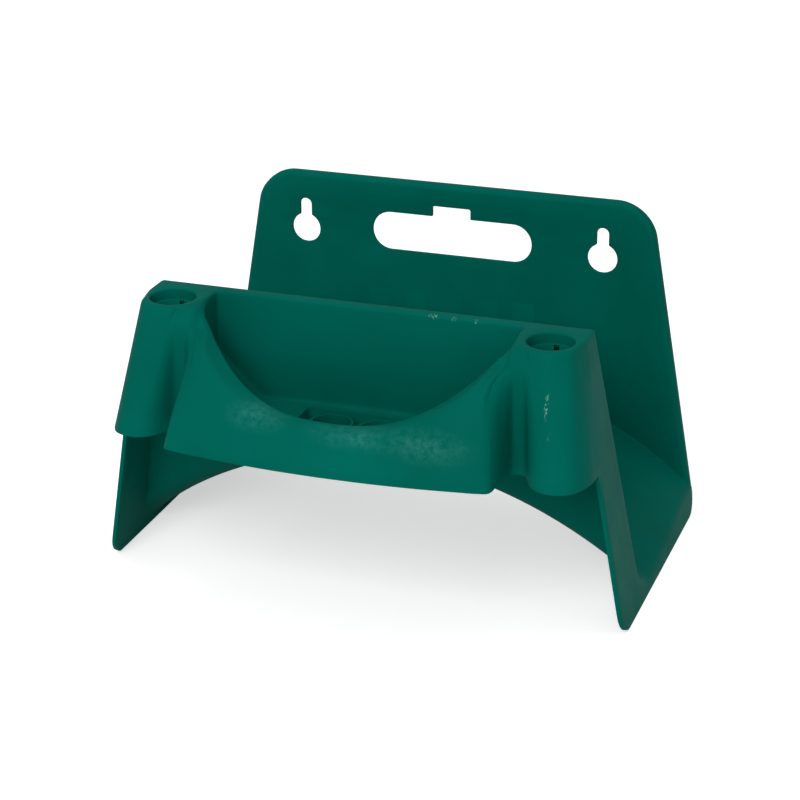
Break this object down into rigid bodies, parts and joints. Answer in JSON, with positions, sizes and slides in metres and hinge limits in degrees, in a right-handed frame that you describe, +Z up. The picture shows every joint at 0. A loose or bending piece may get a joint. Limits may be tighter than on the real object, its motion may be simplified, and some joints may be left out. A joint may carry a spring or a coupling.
{
  "type": "wall hose hanger",
  "caption": "Moulded green plastic wall hanger for a garden hose, with an arched saddle, a pocket for fittings in front, nozzle sockets and keyholes for wall screws.",
  "frame": {"origin": "middle of the hanger's width and depth, at the level that its side walls stand on", "axes": "+X to the right for someone who faces the wall, +Y towards the wall, +Z up"},
  "size_m": [0.297, 0.2246, 0.184],
  "materials": {
    "green_plastic": "satin"
  },
  "bodies": {
    "root": {"back_panel": "green_plastic", "rim_top": "green_plastic", "rim_left": "green_plastic", "rim_right": "green_plastic", "panel_rib_1": "green_plastic", "panel_rib_2": "green_plastic", "panel_rib_3": "green_plastic", "panel_rib_4": "green_plastic", "panel_rib_5": "green_plastic", "saddle_floor": "green_plastic", "side_border_left": "green_plastic", "side_border_right": "green_plastic", "side_strip_left": "green_plastic", "side_strip_right": "green_plastic", "lip_wall": "green_plastic", "lip_cap": "green_plastic", "tower_deck_left": "green_plastic", "tower_deck_right": "green_plastic", "tower_skirt_left": "green_plastic", "tower_skirt_right": "green_plastic", "valley_left": "green_plastic", "valley_right": "green_plastic", "pocket_apron": "green_plastic", "socket_tube_left": "green_plastic", "socket_tube_right": "green_plastic", "pocket_back": "green_plastic", "pocket_end_left": "green_plastic", "pocket_end_right": "green_plastic", "pocket_front": "green_plastic", "pocket_floor": "green_plastic", "pocket_well": "green_plastic", "well_ring_left": "green_plastic", "well_ring_right": "green_plastic"}
  },
  "joints": []
}
